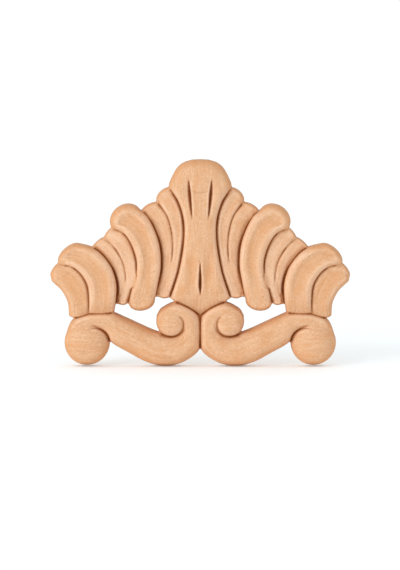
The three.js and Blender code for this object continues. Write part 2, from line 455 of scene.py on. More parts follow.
@dataclass
class Boss:
    """A round boss: the ball or the eye of a scroll."""

    name: str
    across: float
    up: float
    radius: float
    crown: float
    fullness: float = 2.5
    rings: int = 24
    steps: int = 90
    fine_pitch: float = 0.25

    def face(self, pattern: Pattern, side: Side, out: np.ndarray, turn: np.ndarray) -> Face:
        """Works out places on the face of the boss.

        Args:
            pattern: The drawing grid.
            side: The half of the carving that it lies in.
            out: How far each place lies from the middle, from 0 to 1.
            turn: The angle round the middle.

        Returns:
            The places, with a fibre that runs straight across.
        """
        depth = pattern.edge + (self.crown * pattern.depth - pattern.edge) * bulge(out, self.fullness)
        across = side.value * (self.across + self.radius * out * np.cos(turn))
        points = pattern.place(across, self.up + self.radius * out * np.sin(turn), depth)
        ahead = np.broadcast_to([1.0, 0.0, 0.0], points.shape)
        return Face(points, ahead, points[:, 0], -points[:, 2], np.zeros(len(turn)))

    def fine_face(self, pattern: Pattern, side: Side) -> Face:
        """Covers the face of the boss closely with places.

        Args:
            pattern: The drawing grid.
            side: The half of the carving that it lies in.

        Returns:
            The places and their fibre.
        """
        rings = math.ceil(self.radius * math.pi / 2 / self.fine_pitch)
        steps = math.ceil(self.radius * 2 * math.pi / self.fine_pitch)
        angles = np.linspace(-math.pi, math.pi, steps)
        rise, turn = np.meshgrid(np.linspace(0, math.pi / 2, rings), angles)
        return self.face(pattern, side, np.sin(rise.ravel()), turn.ravel())

    def build(self, form: bmesh.types.BMesh, pattern: Pattern, side: Side) -> None:
        """Spins the boss out of its profile and closes it behind the back plane.

        Args:
            form: The mesh that takes the boss.
            pattern: The drawing grid.
            side: The half of the carving to build it in.
        """
        out = np.cos(np.linspace(0, math.pi / 2, self.rings))
        shape = self.face(pattern, side, out, np.zeros(self.rings)).points
        profile = [form.verts.new(point) for point in shape]
        edges = [form.edges.new(pair) for pair in zip(profile, profile[1:])]
        before = set(form.verts)
        bmesh.ops.spin(form, geom=profile + edges, cent=shape[-1], axis=(0, 1, 0), dvec=(0, 0, 0),
                       angle=2 * math.pi, steps=self.steps, use_merge=True, use_duplicate=False)
        made = profile + [vertex for vertex in form.verts if vertex not in before]
        bmesh.ops.remove_doubles(form, verts=made, dist=TOUCHING)
        close_behind(form, [vertex for vertex in made if vertex.is_valid])


@dataclass(frozen=True)
class Shading:
    """Where painted shade darkens the carving and painted highlight lightens it: a reach is in metres, a
    share from 0 to 1.

    A range is where an effect starts and where it is full. The foot's range is in squares up from the base
    line, the slope's is a rise by its run, and those of the inside and the outer wood are shares.
    """

    point: float = 0.1 * MM
    crease_reach: float = 0.28 * MM
    crease_full: float = 0.23 * MM
    crease_bend: float = 0.8
    beside_reach: float = 0.6 * MM
    beside_range: tuple[float, float] = (0.05 * MM, 0.45 * MM)
    beside_share: float = 0.6
    edge_reach: float = 0.5 * MM
    edge_drop: float = 1.3 * MM
    inside_reach: float = 0.22 * MM
    inside_range: tuple[float, float] = (0.72, 0.92)
    foot_range: tuple[float, float] = (4.5, 1.5)
    foot_share: float = 0.6
    hollow_reach: float = 2.0 * MM
    hollow_range: tuple[float, float] = (0.2 * MM, 1.8 * MM)
    hollow_share: float = 0.2
    slope_range: tuple[float, float] = (0.12, 1.4)
    slope_share: float = 0.45
    outer_reach: float = 2.5 * MM
    outer_range: tuple[float, float] = (0.02, 0.35)
    shoulder_reach: float = 0.5 * MM
    shoulder_range: tuple[float, float] = (0.03 * MM, 0.2 * MM)
    shoulder_share: float = 0.6
    painted_light_reach: float = 0.4 * MM
    painted_shade_share: float = 0.22
    highlight_share: float = 0.4


@dataclass
class Relief:
    """The height of the carving over a fine grid of cells, as the knife leaves it and as it is finished."""

    pattern: Pattern
    faces: list[Face]
    shading: Shading = Shading()
    cell: float = 0.15 * MM
    same_face: float = 0.25 * MM
    margin: int = 30
    filled: float = 0.7
    least_wood: float = 0.1
    crispness: float = 0.75
    crisp_reach: float = 0.55 * MM
    crisp_limit: float = 0.2 * MM
    crease_reach: float = 1.2 * MM
    crease_limit: float = 0.9 * MM
    sanding_reach: float = 0.8 * MM
    form_step: float = 7.3
    wall_start: float = 0.3
    wall_scale: float = 2.5
    waver: float = 0.05 * MM
    waver_reach: float = 1.6 * MM
    seed: int = 11

    def __post_init__(self) -> None:
        """Lays the faces over the cells and finishes their height."""
        self.places = np.vstack([face.points for face in self.faces])
        self.low = self.places.min(axis=0)
        high = self.places.max(axis=0)
        shape = tuple(math.ceil((high[k] - self.low[k]) / self.cell) + 2 * self.margin for k in (2, 0))
        row, column = self.cells(self.places)
        order = np.argsort(-self.places[:, 1])
        self.top = np.full(shape, -1)
        self.top[row[order], column[order]] = order
        highest = -self.places[self.top[row, column], 1]
        close = -self.places[:, 1] > highest - self.same_face
        flat = (row * shape[1] + column)[close]
        total = np.bincount(flat, -self.places[close, 1], minlength=self.top.size)
        number = np.bincount(flat, minlength=self.top.size)
        self.cut = (total / np.maximum(number, 1)).reshape(shape)
        self.height = self.finish()

    def cells(self, points: np.ndarray) -> tuple[np.ndarray, np.ndarray]:
        """Finds the cell that each point lies in.

        Args:
            points: The points.

        Returns:
            The row and the column of each.
        """
        row = np.round((points[:, 2] - self.low[2]) / self.cell).astype(int) + self.margin
        column = np.round((points[:, 0] - self.low[0]) / self.cell).astype(int) + self.margin
        return row, column

    def blurred(self, heights: np.ndarray, radius: float) -> np.ndarray:
        """Spreads heights evenly.

        Args:
            heights: The height over every cell.
            radius: The distance to spread them over, in metres.

        Returns:
            The spread heights.
        """
        rows = np.fft.fftfreq(heights.shape[0], self.cell)[:, None]
        columns = np.fft.rfftfreq(heights.shape[1], self.cell)[None, :]
        spread = np.exp(-2 * (math.pi * radius) ** 2 * (rows ** 2 + columns ** 2))
        return np.fft.irfft2(np.fft.rfft2(heights) * spread, s=heights.shape)

    def evened(self, heights: np.ndarray, radius: float) -> np.ndarray:
        """Spreads heights over a distance in metres, over the wood alone."""
        wood = (heights > 0).astype(float)
        return self.blurred(heights, radius) / np.maximum(self.blurred(wood, radius), self.least_wood)

    def sand(self) -> None:
        """Fills empty cells, eases deep creases, sands some of them away, and cuts the V-tool lines."""
        wood = self.top >= 0
        closed = self.blurred(wood.astype(float), self.cell) > self.filled
        self.cut = np.where(closed & ~wood, self.evened(self.cut, self.cell), self.cut)
        solid = (self.cut > 0).astype(float)
        deep = np.maximum(self.evened(self.cut, self.crease_reach) - self.cut, 0.0)
        self.cut += (deep - self.crease_limit * np.tanh(deep / self.crease_limit)) * solid
        even = self.evened(self.cut, self.sanding_reach)
        up = (np.arange(self.cut.shape[0]) - self.margin) * self.cell + self.low[2]
        aside = (np.arange(self.cut.shape[1]) - self.margin) * self.cell + self.low[0]
        up = up[:, None] / self.pattern.square + self.pattern.tall / 2
        across = np.abs(aside[None, :]) / self.pattern.square
        worn = np.zeros(self.cut.shape)
        for spot in SANDED:
            away = np.hypot(across - spot.across, up - spot.up) / spot.radius
            worn = np.maximum(worn, spot.share * np.sqrt(bell(away)))
        self.cut += (even - self.cut) * worn * solid
        for line in LINES:
            self.cut -= line.taken(across, up) * solid

    def finish(self) -> np.ndarray:
        """Sharpens creases and rims a little, and adds the slight waver of hand sanding.

        Returns:
            The finished height over every cell.
        """
        self.sand()
        clean = self.blurred(self.cut, self.shading.point)
        sharp = self.crispness * (clean - self.blurred(self.cut, self.crisp_reach))
        sharp = self.crisp_limit * np.tanh(sharp / self.crisp_limit)
        noise = np.random.default_rng(self.seed).standard_normal(self.cut.shape)
        noise = self.blurred(noise, self.waver_reach)
        return clean + sharp + self.waver * noise / noise.std()

    def sample(self, heights: np.ndarray, points: np.ndarray) -> np.ndarray:
        """Reads a field over the cells at points, evenly between the cells.

        Args:
            heights: The field.
            points: The points.

        Returns:
            Its value at each point.
        """
        up = (points[:, 2] - self.low[2]) / self.cell + self.margin
        aside = (points[:, 0] - self.low[0]) / self.cell + self.margin
        row, column = np.floor(up).astype(int), np.floor(aside).astype(int)
        p, q = up - row, aside - column
        lower = heights[row, column] * (1 - q) + heights[row, column + 1] * q
        upper = heights[row + 1, column] * (1 - q) + heights[row + 1, column + 1] * q
        return lower * (1 - p) + upper * p

    def steepness(self) -> np.ndarray:
        """The slope of the finished face over every cell."""
        rise, run = np.gradient(self.blurred(self.height, self.cell), self.cell)
        return np.hypot(rise, run)

    def fibre(self, points: np.ndarray) -> np.ndarray:
        """The place of each point across and along the form that it lies on, in millimetres.

        Args:
            points: The points.

        Returns:
            Across, along and inward for each point. Inward starts at a number of the form's own.
        """
        ahead = np.vstack([face.ahead for face in self.faces])
        along = np.concatenate([face.along for face in self.faces])
        across = np.concatenate([face.across for face in self.faces])
        forms = [np.full(len(face.points), self.form_step * k) for k, face in enumerate(self.faces)]
        form = np.concatenate(forms)
        nearest = self.top[self.cells(points)]
        off = points - self.places[nearest]
        forward = ahead[nearest]
        sideways = np.stack([-forward[:, 2], np.zeros(len(points)), forward[:, 0]], axis=-1)
        lengthwise = along[nearest] + (off * forward).sum(axis=1)
        crosswise = across[nearest] - (off * sideways).sum(axis=1)
        inward = form[nearest] + self.wall_scale * np.maximum(off[:, 1] / MM - self.wall_start, 0.0)
        return np.stack([crosswise / MM, lengthwise / MM, inward], axis=-1)

    def shade(self, points: np.ndarray) -> np.ndarray:
        """How much painted shade and painted highlight each point gets, from creases, hollows, slopes and
        rims.

        Args:
            points: The points.

        Returns:
            For each point, from 0 to 1: painted crease shade, painted warm shade and painted highlight.
        """
        look = self.shading
        carved = self.top >= 0
        wood = np.where(carved, self.height, 0.0)
        solid = carved.astype(float)
        clean = self.evened(wood, look.point)
        ground = np.where(carved, self.height, self.evened(wood, look.edge_reach) - look.edge_drop)
        sharp = self.blurred(ground, look.point)
        crease_shade = self.sample(self.blurred(ground, look.crease_reach) - sharp, points)
        beside = self.sample(self.blurred(ground, look.beside_reach) - sharp, points)
        hollow = self.sample(self.evened(wood, look.hollow_reach) - clean, points)
        shoulder = self.sample(clean - self.blurred(self.height, look.shoulder_reach), points)
        # Each form's painted shade in troughs and hollows, and painted highlight on crests, spread a little.
        painted_light = np.concatenate([face.painted_light for face in self.faces])
        floor = np.where(carved, painted_light[self.top], 0.0)
        floor = self.sample(self.blurred(floor, look.painted_light_reach), points)

        up = points[:, 2] / self.pattern.square + self.pattern.tall / 2
        # Painted shade along the steep bottom edge, where the carving stands on the floor.
        foot = smooth_step(*look.foot_range, up)
        steep = smooth_step(*look.slope_range, self.sample(self.steepness(), points))
        inside = smooth_step(*look.inside_range, self.sample(self.blurred(solid, look.inside_reach), points))
        outer = 1 - self.sample(self.blurred(solid, look.outer_reach), points)
        outer = smooth_step(*look.outer_range, outer)
        # Painted shade in creases, darkest at their bottom.
        painted_crease_shade = smooth_step(0.0, look.crease_full, crease_shade) ** look.crease_bend * inside
        # Painted warm shade in hollows, on outer slopes, beside creases and in flute troughs and stem
        # hollows.
        painted_warm_shade = look.hollow_share * smooth_step(*look.hollow_range, hollow)
        painted_warm_shade = painted_warm_shade + look.slope_share * steep * outer
        painted_warm_shade = painted_warm_shade + look.beside_share * inside * smooth_step(*look.beside_range, beside)
        painted_warm_shade = painted_warm_shade + look.painted_shade_share * np.maximum(floor, 0.0)
        # Painted highlight on shoulders beside creases and on crests.
        painted_highlight = look.shoulder_share * smooth_step(*look.shoulder_range, shoulder) * (1 - outer)
        painted_highlight = painted_highlight + look.highlight_share * np.maximum(-floor, 0.0)
        return np.stack([
            np.maximum(painted_crease_shade, look.foot_share * foot * steep),
            np.clip(painted_warm_shade, 0.0, 1.0),
            np.clip(painted_highlight, 0.0, 1.0),
        ], axis=-1)


def draw_back(form: bmesh.types.BMesh, rim: Edges, level: float) -> Edges:
    """Draws the open edge of a form back to a level.

    Args:
        form: The mesh that holds the form.
        rim: The open edge.
        level: Where it is drawn to along Y, in metres.

    Returns:
        The new open edge.
    """
    drawn = bmesh.ops.extrude_edge_only(form, edges=rim)["geom"]
    for part in drawn:
        if isinstance(part, bmesh.types.BMVert):
            part.co.y = level
    return [part for part in drawn if isinstance(part, bmesh.types.BMEdge)]


def close_behind(form: bmesh.types.BMesh, face: Vertices) -> None:
    """Draws the open edge of a form back past the back plane and closes it there.

    Args:
        form: The mesh that holds the form.
        face: The vertices of the form's face.
    """
    rim = [edge for edge in {e for vertex in face for e in vertex.link_edges} if edge.is_boundary]
    bmesh.ops.contextual_create(form, geom=draw_back(form, rim, PAST_BACK))


# Each rib's crest gets a painted highlight of the given share.
FAN = [
    Roll("inner_rib", foot=5, tip=5.6, rim=2.6, fullness=(3.6, 3.2, 2.4), tilt=0.5 * MM, painted_highlight=0.9,
         stations=[
        (28, 74, 42.5, 72, 0.59, 0), (21, 92, 36.3, 91.5, 0.68, 0), (16.6, 112, 30.8, 112, 0.71, 0.1),
        (14.2, 131, 29.5, 131, 0.74, 0.5), (15.6, 149.5, 33.5, 148.5, 0.74, 0.5),
        (20.8, 165, 39.3, 159.3, 0.71, 0.5), (28.6, 178.3, 43.2, 165, 0.62, 0.3),
    ]),
    Roll("outer_rib", foot=4, tip=4.3, rim=2.6, fullness=(3.4, 2.4, 2.4), tilt=1.7 * MM, painted_highlight=0.6,
         stations=[
        (31, 75, 46, 72, 0.56, 0), (25.9, 93, 42.8, 91, 0.68, 0), (25, 114, 41.5, 113, 0.7, 0),
        (27.5, 137.5, 45.6, 133.5, 0.7, 0.2), (32, 153, 52, 147, 0.68, 0.3),
        (40.4, 163.3, 58.3, 155, 0.58, 0.2),
    ]),
    Roll("broad_lobe", foot=9.6, tip=13.8, rim=6.5, fullness=(5, 4.5, 2.5), stations=[
        (45.5, 67.7, 71.8, 63, 0.78, 0), (42.2, 84, 68.3, 82, 0.88, 0.5), (39.2, 103, 63.9, 101, 0.91, 1),
        (40.8, 123, 66.9, 117.5, 0.91, 1), (46.2, 139.3, 74, 131, 0.91, 1),
        (52.5, 150.5, 81, 136.6, 0.88, 1), (60.8, 157.8, 88.6, 139, 0.82, 1),
    ]),
    Roll("middle_rib", foot=4.3, tip=2.9, rim=2.6, fullness=(2.8, 3.2, 2.4), tilt=0.4 * MM, painted_highlight=1.6,
         stations=[
        (72, 66, 82.5, 65, 0.56, 0), (64.3, 83, 79.3, 82, 0.69, 0), (60.2, 102, 78.2, 99.5, 0.72, 0.3),
        (65.2, 121.3, 83.5, 113.5, 0.71, 0.5), (74, 134.3, 89.6, 121.4, 0.69, 0.5),
        (85.5, 140, 96.3, 127.3, 0.56, 0.3),
    ]),
    Roll("small_rib", foot=4, tip=1.8, rim=2.4, fullness=(3.4, 2.2, 2.4), tilt=1.7 * MM, painted_highlight=1.2,
         stations=[
        (73.5, 67, 86, 65, 0.5, 0), (71.6, 84, 85.6, 82, 0.67, 0), (76, 104.8, 90.4, 99.3, 0.68, 0.1),
        (83, 117.5, 97.8, 109.2, 0.66, 0.2), (89.4, 125.3, 104, 115.6, 0.61, 0.2),
        (96.9, 129, 108.2, 118.8, 0.5, 0),
    ]),
    Roll("curled_lobe", foot=2.2, tip=8.3, rim=6, fullness=(5, 4.5, 2.4), lead=1, stations=[
        (85.9, 56, 112.5, 54.5, 0.66, 0), (84.4, 68, 111.8, 66.5, 0.88, 0.5),
        (83.9, 84, 112.9, 80.5, 0.91, 1), (88.8, 100, 117.4, 90, 0.91, 1),
        (98.6, 113, 123.8, 97.3, 0.91, 1), (109.4, 120.2, 131.5, 101.4, 0.86, 0.9),
        (122.6, 123.5, 139.6, 102.4, 0.76, 0.7),
    ]),
    Roll("end_lobe", foot=3, tip=3.3, rim=4, fullness=(2.6, 2.2, 2.2), stations=[
        (110, 52, 131.9, 51, 0.6, 0), (108.6, 66, 133, 63.6, 0.73, 1),
        (111.3, 83, 138.5, 75, 0.78, 1.3), (118, 95.8, 144.5, 81.2, 0.77, 1.4),
        (128, 102.3, 149, 85.6, 0.74, 1.4), (139, 104.2, 150, 90.3, 0.63, 1),
    ]),
]

SCROLL = Roll("scroll", foot=2, tip=2, fullness=(2.5, 2.5, 2.5), stations=[
    (124, 30, 136.2, 28.4, 0.6, 0), (113.5, 38.2, 128.4, 46.4, 0.79, 0), (104, 38.5, 110, 53.8, 0.82, 0),
    (95, 33.5, 90, 54.6, 0.86, 0), (88.3, 23.2, 76, 49.3, 0.9, 0), (72, 13.6, 61, 42.4, 0.9, 0),
    (54, 4.2, 46.5, 36, 0.9, 0), (36, 0, 34, 32.2, 0.9, 0), (18, 3.6, 24, 33.2, 0.89, 0),
    (2.2, 14.6, 20, 38.5, 0.88, 0), (-1.2, 28, 20, 42.2, 0.88, 0), (-0.5, 46.5, 22, 46, 0.89, 0),
    (7.6, 58.6, 25, 47.3, 0.9, 0), (23.5, 64.8, 28, 47, 0.91, 0), (38.5, 58.5, 31, 45, 0.9, 0),
    (44, 50.5, 31.5, 42.5, 0.88, 0),
])
BALL = Boss("ball", across=113.6, up=23.9, radius=22.8, crown=0.96)
EYE = Boss("eye", across=29.2, up=45.1, radius=15, crown=0.97, fullness=3.2)

STEM_HALVES = [
    (22, 49, 0.36, 0), (23, 57, 0.58, 0), (24.2, 64, 0.7, 0), (28.2, 67.2, 0.755, 0), (30.3, 70.5, 0.8, 0),
    (26.6, 81, 0.88, 0), (22, 97.5, 0.92, 0), (18.3, 117, 0.94, 0), (16.6, 136, 0.96, 0),
    (17.6, 151.5, 0.97, 0), (22.2, 166, 0.98, 0), (28, 175.6, 0.98, 0), (31.5, 181.2, 0.975, 0),
    (29.5, 187.7, 0.955, 0), (25.4, 196, 0.91, 0), (21.4, 201.2, 0.84, 0), (16.0, 204.8, 0.7, 0),
    (9.4, 206.9, 0.5, 0),
]
STEM = Stem("stem", foot=6, tip=0.7, fullness=(4.5, 4.5, 2.2), stations=[
    (-half, up, half, up, crown, flute) for half, up, crown, flute in STEM_HALVES
])


@dataclass(frozen=True)
class Sanded:
    """A spot, in squares, where a share of the crease between two forms is sanded away, in both halves."""

    across: float
    up: float
    radius: float
    share: float = 1.0


SANDED = [Sanded(*spot) for spot in (
    (114, 41, 8), (121, 37, 9), (127, 33, 9), (132, 27, 7),
    (24, 54, 5), (31, 54, 8), (38, 51, 9), (43, 46, 7),
    (29, 103, 4), (30.5, 98, 6), (31.5, 92, 6), (33, 86, 6.5),
    (35.5, 80, 6.5), (37.5, 75, 5),
    (75.8, 80.5, 4.5), (76.8, 75, 5), (78, 68, 4),
    (64.4, 95.5, 5, 0.5), (65, 91.5, 5), (66, 88, 5), (66.8, 84.5, 5),
    (67.6, 81.5, 4),
    (59, 155, 7, 0.6), (52.5, 150, 6, 0.4), (45, 71, 6, 0.6), (44, 77, 5, 0.4),
    (87, 139, 7, 0.8), (80.5, 136.5, 6, 0.6), (96, 128, 6, 0.7),
    (89.5, 122, 5, 0.4),
    (108, 119.5, 6, 0.6), (139, 102.3, 7, 0.8), (131, 101.2, 6, 0.6),
    (44, 166, 5, 0.6), (30, 178, 6, 0.5),
)]


@dataclass(frozen=True)
class Line:
    """A line cut with a V tool, in both halves, which touches the wood so many times for each station.

    Each station is across, up and half the line's width, in squares, and its depth in millimetres.
    """

    stations: list[tuple[float, float, float, float]]
    touches: int = 14

    def taken(self, across: np.ndarray, up: np.ndarray) -> np.ndarray:
        """The depth of wood that the tool takes off.

        Args:
            across: Squares from the axis, one row of cells.
            up: Squares from the base line, one column of cells.

        Returns:
            The depth over every cell, in metres.
        """
        taken = np.zeros((up.size, across.size))
        steps = self.touches * len(self.stations)
        spots = through(self.stations, np.linspace(0, len(self.stations) - 1, steps))
        for aside, rise, half, depth in spots:
            rows = np.flatnonzero(np.abs(up[:, 0] - rise) < half)
            columns = np.flatnonzero(np.abs(across[0] - aside) < half)
            away = np.hypot(across[:, columns] - aside, up[rows] - rise) / half
            here = np.ix_(rows, columns)
            taken[here] = np.maximum(taken[here], depth * MM * np.clip(1 - away, 0.0, 1.0))
        return taken


LINES = [
    Line([(44.8, 37.2, 1.8, 0.2), (40.5, 33.6, 1.8, 0.3), (35, 31.1, 1.8, 0.3), (28.6, 30.1, 1.6, 0.3),
          (22.4, 31.6, 1.4, 0.25), (17.6, 35.2, 1.2, 0.2), (14.8, 40, 1.0, 0.1), (14.4, 45, 1.0, 0.0)]),
    Line([(90.9, 25.2, 2.0, 0.5), (92.6, 31.4, 2.0, 0.5), (97, 36, 1.8, 0.5), (101.5, 38.2, 1.6, 0.5),
          (106, 39.2, 1.4, 0.4), (111, 38.9, 1.2, 0.1)]),
    Line([(27.9, 174, 1.2, 0.1), (22.8, 166, 1.7, 0.3), (19.2, 156, 1.9, 0.4), (17.1, 146, 2.1, 0.7),
          (16.5, 136, 2.3, 0.8), (16.9, 126, 2.4, 0.9), (18, 116, 2.4, 0.9), (20.8, 101, 2.1, 0.7),
          (22.1, 95, 2.0, 0.6), (24.9, 86, 2.0, 0.7), (28, 76, 2.0, 0.7), (29.8, 70, 1.8, 0.5)]),
    Line([(54.5, 152, 1.2, 0.1), (49.6, 146, 1.3, 0.2), (44.6, 136, 1.6, 0.5), (41, 126, 1.7, 0.7),
          (39.1, 116, 1.8, 0.9), (38.7, 101, 1.8, 0.9), (39.1, 95, 1.7, 0.7), (40.9, 86, 1.4, 0.3),
          (42.9, 78, 1.2, 0.0)]),
    Line([(71.6, 126, 1.2, 0.1), (67, 116, 1.4, 0.3), (64.7, 108, 1.4, 0.4), (63.9, 101, 1.3, 0.3),
          (63.8, 96, 1.2, 0.35), (63.9, 91, 1.0, 0.3), (64.2, 86, 0.8, 0.0)]),
    Line([(66.6, 83, 0.8, 0.0), (68, 80, 1.0, 0.25), (69.2, 77, 1.0, 0.25), (70, 73.5, 1.0, 0.0)]),
    Line([(95.5, 108.5, 1.2, 0.1), (89, 101, 1.5, 0.4), (86.2, 95, 1.8, 0.8), (83.7, 86, 2.0, 1.1),
          (82.9, 76, 2.0, 1.1), (83.6, 67, 1.4, 0.3)]),
    Line([(27.6, 126, 1.0, 0.0), (27.7, 120, 1.2, 0.25), (28, 114, 1.2, 0.35), (28.7, 108, 1.1, 0.25),
          (29.6, 102, 0.9, 0.0)]),
    Line([(75.4, 98, 1.0, 0.0), (74.9, 94, 1.1, 0.25), (74.6, 89, 1.1, 0.35), (74.5, 84, 1.0, 0.2),
          (74.6, 79, 0.8, 0.0)]),
    Line([(26.5, 65.3, 1.0, 0.2), (24, 65, 1.2, 0.3), (19, 63.4, 1.4, 0.3), (13, 60.2, 1.5, 0.4),
          (8, 57, 1.5, 0.4), (4.2, 54.1, 1.5, 0.5), (0.2, 50.8, 1.2, 0.5), (0, 44, 0.8, 0.4),
          (0, 30, 0.8, 0.4), (0, 21, 1.6, 0.5), (0, 17, 2.2, 0.3)]),
    Line([(0, 175.2, 1.4, 0.15), (4.5, 175.6, 1.4, 0.15), (8.8, 178, 1.2, 0.1)]),
]


@dataclass(frozen=True)
class BeechFibre:
    """The pattern of the fibre: waves to the millimetre across and along it, and how they add up."""

    fine: tuple[float, float] = (3.4, 1.1)
    broad: tuple[float, float] = (1.5, 0.13)
    mottle: tuple[float, float] = (0.35, 0.16)
    pore: tuple[float, float] = (1.5, 0.7)
    fine_share: float = 0.66
    pore_rarity: tuple[float, float] = (0.3, 0.5)
    pore_edge: tuple[float, float] = (0.05, 0.2)
    pore_depth: float = 1.4


@dataclass(frozen=True)
class BeechFinish:
    """Bare, finely sanded beech: its colours, how far its fibre and pores show, and its painted shade and
    painted highlight.
    """

    light: Colour = srgb(226, 184, 148)
    middle: Colour = srgb(206, 157, 117)
    # The wood's own mottle, and the painted warm shade of hollows, outer slopes, crease sides and flute
    # troughs.
    hollow: Colour = srgb(211, 147, 94)
    # Painted shade in the creases.
    crease_shade: Colour = srgb(126, 62, 12)
    # Painted highlight on shoulders and crests.
    rim: Colour = srgb(246, 212, 184)
    pore: Colour = srgb(130, 76, 40)
    streak_range: tuple[float, float] = (0.34, 0.66)
    mottle_range: tuple[float, float] = (0.4, 0.75)
    mottle_share: float = 0.45
    pore_share: float = 0.6
    # How strongly the painted highlight shows.
    highlight_share: float = 0.6
    roughness: float = 0.56
    streak_roughness: float = 0.12
    specular: float = 0.18
    bump_strength: float = 0.35
    fibre_relief: float = 0.12 * MM


CARVED = BeechFinish()
PLANED = BeechFinish(mottle_range=(0.4, 0.7), mottle_share=0.5, pore_share=0.7, roughness=0.66)


class Graph:
    """A node tree with short calls for the nodes that the finishes use."""

    def __init__(self, tree: bpy.types.NodeTree) -> None:
        """Keeps the tree and clears it."""
        self.tree = tree
        tree.nodes.clear()

    def add(self, kind: str, inputs: dict | None = None, **settings: object) -> bpy.types.Node:
        """Adds one node.

        Args:
            kind: The node's type name.
            inputs: What goes into its sockets, by name or number: another node's output, or a plain value.
            settings: Its own settings.

        Returns:
            The new node.
        """
        node = self.tree.nodes.new(kind)
        for name, value in settings.items():
            setattr(node, name, value)
        for key, value in (inputs or {}).items():
            if isinstance(value, Socket):
                self.tree.links.new(value, node.inputs[key])
            else:
                node.inputs[key].default_value = value
        return node

    def sum(self, operation: str, first: object, second: object = 0.0) -> Socket:
        """Works out one sum on two values and gives its output."""
        node = self.add("ShaderNodeMath", {0: first, 1: second}, operation=operation)
        return node.outputs[0]

    def mix(self, factor: object, first: object, second: object) -> Socket:
        """Mixes two colours and gives the output.

        Args:
            factor: How much of the second colour, from 0 to 1.
            first: The first colour, or the output that gives it.
            second: The second colour, or the output that gives it.

        Returns:
            The mixed colour's output.
        """
        node = self.add("ShaderNodeMix", data_type="RGBA", clamp_factor=True)
        for socket, value in ((node.inputs[0], factor), (node.inputs[6], first), (node.inputs[7], second)):
            if isinstance(value, Socket):
                self.tree.links.new(value, socket)
            elif isinstance(value, tuple):
                socket.default_value = (*value, 1.0)
            else:
                socket.default_value = value
        return node.outputs[2]

    def ramp(self, value: Socket, low: float, high: float) -> Socket:
        """Spreads a value smoothly.

        Args:
            value: The output that gives the value.
            low: The value that gives 0.
            high: The value that gives 1.

        Returns:
            The output, from 0 to 1.
        """
        inputs = {"Value": value, "From Min": low, "From Max": high}
        return self.add("ShaderNodeMapRange", inputs, interpolation_type="SMOOTHSTEP").outputs["Result"]


def fibre_group(fibre: BeechFibre = BeechFibre()) -> bpy.types.NodeTree:
    """Builds the shared effect of wood fibre and pores.

    Args:
        fibre: The pattern.

    Returns:
        A node group that takes fibre coordinates in millimetres, across and along, and gives masks.
    """
    tree = bpy.data.node_groups.new("beech_fibre", "ShaderNodeTree")
    face = tree.interface
    face.new_socket("Vector", in_out="INPUT", socket_type="NodeSocketVector")
    for name in ("Streak", "Mottle", "Pore", "Height"):
        face.new_socket(name, in_out="OUTPUT", socket_type="NodeSocketFloat")
    graph = Graph(tree)
    start = graph.add("NodeGroupInput").outputs["Vector"]

    def stretched(waves: tuple[float, float]) -> Socket:
        """Scales the coordinates across and along the fibre."""
        node = graph.add("ShaderNodeMapping", {"Vector": start, "Scale": (*waves, 1.0)})
        return node.outputs["Vector"]

    def noise(waves: tuple[float, float], detail: float, rough: float) -> Socket:
        """Adds one noise, stretched along the fibre."""
        inputs = {"Vector": stretched(waves), "Scale": 1.0, "Detail": detail, "Roughness": rough}
        return graph.add("ShaderNodeTexNoise", inputs).outputs["Fac"]

    fine = noise(fibre.fine, detail=3.0, rough=0.65)
    broad = noise(fibre.broad, detail=2.0, rough=0.5)
    mottle = noise(fibre.mottle, detail=3.0, rough=0.6)
    spots = {"Vector": stretched(fibre.pore), "Scale": 1.0}
    cells = graph.add("ShaderNodeTexVoronoi", spots, feature="F1").outputs
    chance = graph.add("ShaderNodeSeparateColor", {"Color": cells["Color"]}).outputs[0]
    dot = graph.sum("SUBTRACT", 1.0, graph.ramp(cells["Distance"], *fibre.pore_edge))
    pore = graph.sum("MULTIPLY", dot, graph.ramp(chance, *fibre.pore_rarity))
    fine = graph.sum("MULTIPLY", fine, fibre.fine_share)
    streak = graph.sum("ADD", fine, graph.sum("MULTIPLY", broad, 1 - fibre.fine_share))
    height = graph.sum("SUBTRACT", streak, graph.sum("MULTIPLY", pore, fibre.pore_depth))
    graph.add("NodeGroupOutput", {"Streak": streak, "Mottle": mottle, "Pore": pore, "Height": height})
    return tree


